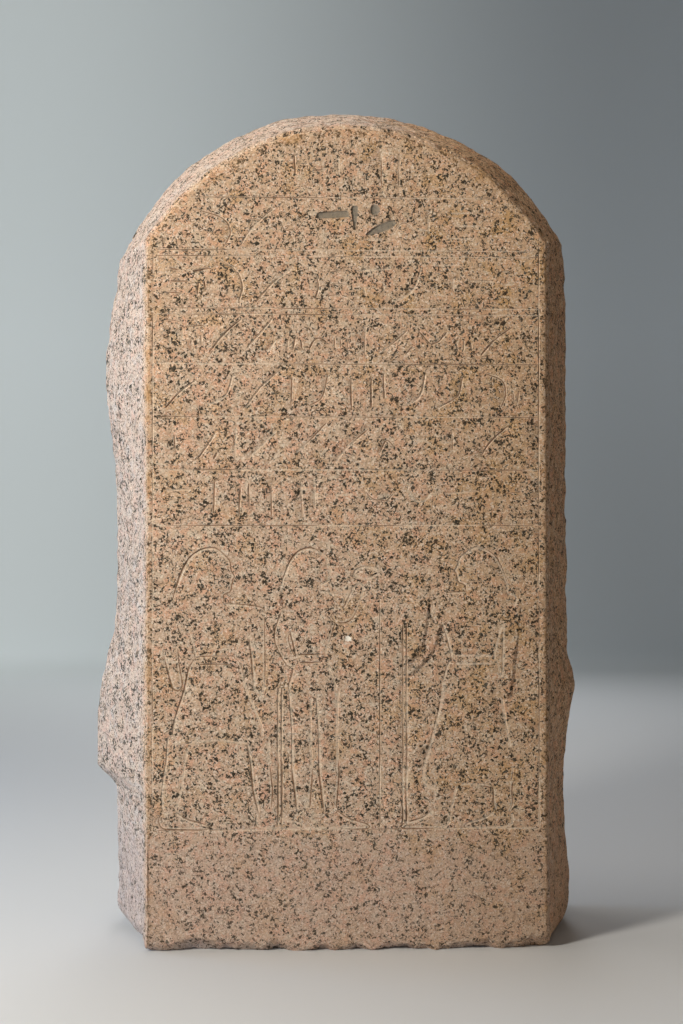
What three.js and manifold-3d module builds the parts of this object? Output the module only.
// A round-topped standing slab of coarse pink granite. Its front is dressed flat and carved with
// seven bands of marks over a scene of three standing figures; the body behind the front is left
// rough and swells out to both sides and over the top before it rounds in to the back.
// Millimetres, +Z up, the carved front facing -Y. The origin is on the ground, under the middle
// of the slab's outer box.

import * as THREE from "three";
import { mergeVertices } from "three/addons/utils/BufferGeometryUtils.js";
import Module from "manifold-3d";

const wasm = await Module();
wasm.setup();

// The slab
const slabDepth = 420;
const frontY = -slabDepth / 2;
const widestDepth = 265; // how far behind the front the body is at its widest
const backShare = 0.22; // how much of the swell is left at the back face

// The dressed front: straight sides, then an arch that meets them at a slight corner
const panelCentre = 18;
const panelHalfWidth = 494;
const panelShoulder = 1753;
const panelTop = 2034;

// The rough body at its widest, as an arch with its own centre over two uneven sides
const bodyArchCentre = 25;
const bodyArchRadius = 665;
const bodyTop = 2140;
const bodyLeft = 582;
const bodyRight = 611;
const bossSwell = 51; // the rough boss low on the left side
const slabMiddle = 1000;
const roughness = 3; // how deep the hollows of the rough surface are

// The broken lower edge of the front, and the lower corners of the body, which are knocked round
const chipHeight = 15;
const chipDepth = 18;
const leftFootRound = 60;
const rightFootRound = 32;

// How finely the outline is stepped
const sideSteps = 30;
const archSteps = 36;
const baseSteps = 30;
const footCrowding = 1.2; // above 1, the steps up the sides are closer together near the ground
const ringDepths = [0, chipDepth, 60, 115, 175, 225, widestDepth, 310, 350, 382, 405, slabDepth];

// The layout of the carving, as heights above the ground and places across the front
const groundLine = 299;
const bandLines = [1048, 1185, 1316, 1447, 1577, 1721, 1859];
const doubleLines = [1577, 1721];
const doubleGap = 15;
const leftBorder = -463;
const rightBorder = 492;
const divider = 97;
const dividerTop = 867;
const lineWidth = 6;
const lineDepth = 3;
const figureDepth = 3;
const deepMarkDepth = 7;
const figureSquare = 36; // a standing figure is eighteen of these squares to its hairline
const cutterStandsOut = 5;

const smoothStep = THREE.MathUtils.smoothstep;
const lerp = THREE.MathUtils.lerp;

function swell(z, centre, height, halfWidth) {
  return height * Math.exp(-(((z - centre) / halfWidth) ** 2));
}

// How far a round lower corner draws the side in at a height
function footRound(z, radius) {
  const below = Math.max(1 - z / radius, 0);
  return radius * (1 - Math.sqrt(1 - below * below));
}

// The body narrows a little where its sides meet the arch
function shoulderNarrowing(z) {
  return swell(z, 1840, 10, 120);
}

function leftReach(z) {
  const boss = bossSwell * smoothStep(z, 360, 430) * (1 - smoothStep(z, 540, 900));
  const waves = swell(z, 1440, 28, 200) - swell(z, 160, 5, 160);
  return bodyLeft + boss + waves - shoulderNarrowing(z) - footRound(z, leftFootRound);
}

function rightReach(z) {
  const waves = swell(z, 600, 22, 60) - swell(z, 330, 9, 120) + swell(z, 120, 6, 80);
  return bodyRight + waves - shoulderNarrowing(z) - footRound(z, rightFootRound);
}

// An arch between two heights, as points from its left foot to its right foot
function archPoints(centreX, centreZ, radius, leftAngle, rightAngle) {
  const points = [];
  for (let i = 0; i <= archSteps; i += 1) {
    const angle = lerp(leftAngle, rightAngle, i / archSteps);
    points.push([centreX + radius * Math.sin(angle), centreZ + radius * Math.cos(angle)]);
  }
  return points;
}

// A closed outline: up the left side, over the arch, down the right side and back along the base
function outline(leftSide, arch, rightSide) {
  const points = [];
  const leftFoot = arch[0];
  const rightFoot = arch[archSteps];
  for (let i = 0; i < sideSteps; i += 1) {
    const z = leftFoot[1] * (i / sideSteps) ** footCrowding;
    points.push([leftSide(z), z]);
  }
  points.push(...arch);
  for (let i = 1; i <= sideSteps; i += 1) {
    const z = rightFoot[1] * (1 - i / sideSteps) ** footCrowding;
    points.push([rightSide(z), z]);
  }
  const start = points[points.length - 1][0];
  const end = points[0][0];
  for (let i = 1; i < baseSteps; i += 1) {
    points.push([lerp(start, end, i / baseSteps), 0]);
  }
  return points;
}

function panelOutline() {
  const rise = panelTop - panelShoulder;
  const radius = (panelHalfWidth ** 2 + rise ** 2) / (2 * rise);
  const spread = Math.asin(panelHalfWidth / radius);
  const arch = archPoints(panelCentre, panelTop - radius, radius, -spread, spread);
  const left = () => panelCentre - panelHalfWidth;
  const right = () => panelCentre + panelHalfWidth;
  return outline(left, arch, right);
}

function bodyOutline() {
  const centreZ = bodyTop - bodyArchRadius;
  const leftAngle = Math.asin((-leftReach(1700) - bodyArchCentre) / bodyArchRadius);
  const rightAngle = Math.asin((rightReach(1700) - bodyArchCentre) / bodyArchRadius);
  const arch = archPoints(bodyArchCentre, centreZ, bodyArchRadius, leftAngle, rightAngle);
  return outline((z) => -leftReach(z), arch, rightReach);
}

// How far a ring of the loft has gone from the front's outline to the body's widest outline
function swellShare(depth) {
  if (depth <= widestDepth) {
    const t = depth / widestDepth;
    return lerp(t, Math.sin((t * Math.PI) / 2), 0.5);
  }
  const t = (depth - widestDepth) / (slabDepth - widestDepth);
  return 1 - (1 - backShare) * (1 - Math.sqrt(1 - 0.96 * t * t));
}

// The hollows of the rough surface, always inwards
function hollow(x, z, depth) {
  const wave = Math.sin(x / 61 + depth / 47) * Math.cos(z / 83 - depth / 39);
  return roughness * (1 + wave) * smoothStep(depth, 0, 60);
}

// How high the break along the front's lower edge reaches
function chip(x) {
  return chipHeight + 5 * Math.sin(x / 37) + 4 * Math.sin(x / 17 + 1.3);
}

// One ring of the loft, as points in space
function ring(depth, panel, body) {
  const share = swellShare(depth);
  return panel.map(([panelX, panelZ], i) => {
    const onBase = panelZ === 0;
    const x = lerp(panelX, body[i][0], share);
    const z = lerp(panelZ, body[i][1], share);
    const inward = new THREE.Vector2(-x, z > slabMiddle ? slabMiddle - z : 0).normalize();
    const isWidest = depth === widestDepth;
    const cut = onBase || isWidest ? 0 : hollow(x, z, depth);
    const isEdge = depth === 0 || depth === slabDepth;
    const lift = onBase && isEdge ? chip(x) : 0;
    return [x + inward.x * cut, frontY + depth, z + inward.y * cut + lift];
  });
}

// The slab before it is carved, lofted from the front face to the back face, where each end is
// closed by a fan about its own middle point
function slabGeometry() {
  const panel = panelOutline();
  const body = bodyOutline();
  const rings = ringDepths.map((depth) => ring(depth, panel, body));
  const count = panel.length;
  const lastRing = (rings.length - 1) * count;
  const frontMiddle = rings.length * count;
  const backMiddle = frontMiddle + 1;
  const index = [];
  for (let i = 0; i < count; i += 1) {
    const next = (i + 1) % count;
    for (let r = 0; r + 1 < rings.length; r += 1) {
      const a = r * count + i;
      const b = r * count + next;
      index.push(a, b, a + count, b, b + count, a + count);
    }
    index.push(frontMiddle, next, i, backMiddle, lastRing + i, lastRing + next);
  }
  const middles = [
    [panelCentre, frontY, slabMiddle],
    [0, frontY + slabDepth, slabMiddle],
  ];
  const positions = [...rings.flat(), ...middles].flat();
  const geometry = new THREE.BufferGeometry();
  geometry.setAttribute("position", new THREE.Float32BufferAttribute(positions, 3));
  geometry.setIndex(index);
  return geometry;
}

function toSolid(geometry) {
  geometry.deleteAttribute("normal");
  geometry.deleteAttribute("uv");
  const merged = mergeVertices(geometry, 1e-4);
  const mesh = new wasm.Mesh({
    numProp: 3,
    vertProperties: new Float32Array(merged.attributes.position.array),
    triVerts: new Uint32Array(merged.index.array),
  });
  return new wasm.Manifold(mesh);
}

function toGeometry(solid) {
  const mesh = solid.getMesh();
  const geometry = new THREE.BufferGeometry();
  geometry.setAttribute("position", new THREE.BufferAttribute(mesh.vertProperties, 3));
  geometry.setIndex(new THREE.BufferAttribute(mesh.triVerts, 1));
  geometry.computeVertexNormals();
  return geometry;
}

// A flat shape on the front, as a solid that cuts it to a depth
function cutter(shape, depth) {
  const height = depth + cutterStandsOut;
  const geometry = new THREE.ExtrudeGeometry(shape, { depth: height, bevelEnabled: false });
  geometry.rotateX(Math.PI / 2);
  geometry.translate(0, frontY + depth, 0);
  return toSolid(geometry);
}

function polygon(points) {
  return new THREE.Shape(points.map(([x, z]) => new THREE.Vector2(x, z)));
}

function barShape(x0, z0, x1, z1) {
  return polygon([[x0, z0], [x1, z0], [x1, z1], [x0, z1]]);
}

function levelLine(x0, x1, z) {
  return barShape(x0, z - lineWidth / 2, x1, z + lineWidth / 2);
}

function uprightLine(x, z0, z1) {
  return barShape(x - lineWidth / 2, z0, x + lineWidth / 2, z1);
}

// A tapered limb with round ends, from one joint to the next
function limbShape([x0, z0], r0, [x1, z1], r1) {
  const along = Math.atan2(z1 - z0, x1 - x0);
  const lean = Math.acos((r0 - r1) / Math.hypot(x1 - x0, z1 - z0));
  const points = [];
  const steps = 5;
  for (let i = 0; i <= steps; i += 1) {
    const angle = along + lean + ((2 * Math.PI - 2 * lean) * i) / steps;
    points.push([x0 + r0 * Math.cos(angle), z0 + r0 * Math.sin(angle)]);
  }
  for (let i = 0; i <= steps; i += 1) {
    const angle = along - lean + (2 * lean * i) / steps;
    points.push([x1 + r1 * Math.cos(angle), z1 + r1 * Math.sin(angle)]);
  }
  return polygon(points);
}

// Where the sides of the front are at a height, so that a line can stop short of them
function halfWidthAt(z) {
  if (z <= panelShoulder) {
    return panelHalfWidth;
  }
  const rise = panelTop - panelShoulder;
  const radius = (panelHalfWidth ** 2 + rise ** 2) / (2 * rise);
  return Math.sqrt(radius ** 2 - (z - panelTop + radius) ** 2);
}

// The lines that part the bands, frame the front and divide the scene
function lineCutters() {
  const shapes = [];
  const edge = 24;
  for (const z of bandLines) {
    const offsets = doubleLines.includes(z) ? [-doubleGap / 2, doubleGap / 2] : [0];
    for (const offset of offsets) {
      const reach = halfWidthAt(z + offset) - edge;
      shapes.push(levelLine(panelCentre - reach, panelCentre + reach, z + offset));
    }
  }
  shapes.push(levelLine(leftBorder, rightBorder, groundLine));
  shapes.push(uprightLine(leftBorder, groundLine, panelShoulder - 30));
  shapes.push(uprightLine(rightBorder, groundLine, panelShoulder - 30));
  shapes.push(uprightLine(divider, groundLine, dividerTop));
  return shapes.map((shape) => cutter(shape, lineDepth));
}

// The few deeper marks in the second band: a bar, a wedge, a round hollow and a slanted oval
function deepMarkCutters() {
  const z = 1782;
  const wedge = polygon([[28, z + 26], [40, z + 26], [37, z - 22], [32, z - 22]]);
  const marks = [
    barShape(-62, z + 22, 18, z + 36),
    wedge,
    limbShape([82, z + 38], 15, [88, z + 39], 14),
    limbShape([76, z - 24], 9, [132, z + 6], 12),
  ];
  return marks.map((shape) => cutter(shape, deepMarkDepth));
}

// A standing figure in profile, in squares from the ground between its feet. Facing is 1 towards
// +X and -1 towards -X, and the arms are lists of joints from the shoulder to the hand.
function figureShapes(figure) {
  const place = ([x, z]) => [
    figure.x + figure.facing * x * figureSquare,
    groundLine + z * figureSquare,
  ];
  const limb = (from, r0, to, r1) => {
    return limbShape(place(from), r0 * figureSquare, place(to), r1 * figureSquare);
  };
  const block = (...corners) => polygon(corners.map(place));
  const shapes = [
    limb([0.1, 17.5], 1.15, [0.3, 17.6], 1.05),
    block([-1.5, 17.6], [-1.5, 15.2], [0.2, 15.6], [0.6, 17.6]),
    block([-3, 15.9], [-1.2, 11.2], [1.3, 11.2], [3, 15.9]),
    block([-1.3, 11.6], [-1.9, figure.hem], [figure.hemFront, figure.hem], [1.3, 11.6]),
    limb([0.9, 8.5], 1.05, [figure.stride, 0.9], 0.45),
    limb([-0.6, 8.5], 1.05, [-figure.stride, 0.9], 0.45),
    limb([figure.stride - 0.3, 0.4], 0.4, [figure.stride + 2.3, 0.3], 0.25),
    limb([-figure.stride - 0.3, 0.4], 0.4, [-figure.stride + 2.3, 0.3], 0.25),
  ];
  for (const arm of figure.arms) {
    for (let i = 0; i + 1 < arm.length; i += 1) {
      shapes.push(limb(arm[i], 0.5, arm[i + 1], 0.38));
    }
  }
  return shapes;
}

const offeringArms = [
  [[2.6, 15.4], [4.2, 12.9], [6.4, 14.4]],
  [[-2.4, 15.4], [0.6, 13.2], [3.4, 12.6]],
];
const restingArms = [
  [[2.6, 15.4], [3.9, 12.6], [5.4, 10.6]],
  [[-2.6, 15.4], [-3.3, 12], [-2.9, 8.6]],
];
const figures = [
  { x: -300, facing: 1, stride: 2.7, hem: 5.4, hemFront: 3, arms: restingArms },
  { x: -62, facing: 1, stride: 1.7, hem: 6.4, hemFront: 2.2, arms: offeringArms },
  { x: 318, facing: -1, stride: 2.4, hem: 6, hemFront: 2.8, arms: restingArms },
];

function figureCutters() {
  return figures.flatMap(figureShapes).map((shape) => cutter(shape, figureDepth));
}

function joined(solids) {
  return solids.reduce((whole, solid) => whole.add(solid));
}

function carvedSlab() {
  const carving = [...lineCutters(), ...figureCutters(), ...deepMarkCutters()];
  return toSolid(slabGeometry()).subtract(joined(carving));
}

const granite = new THREE.MeshStandardMaterial({ color: 0xa98a76, roughness: 0.85, metalness: 0 });
const stele = new THREE.Mesh(toGeometry(carvedSlab()), granite);
stele.name = "stele";

const model = new THREE.Group();
model.add(stele);

export default model;
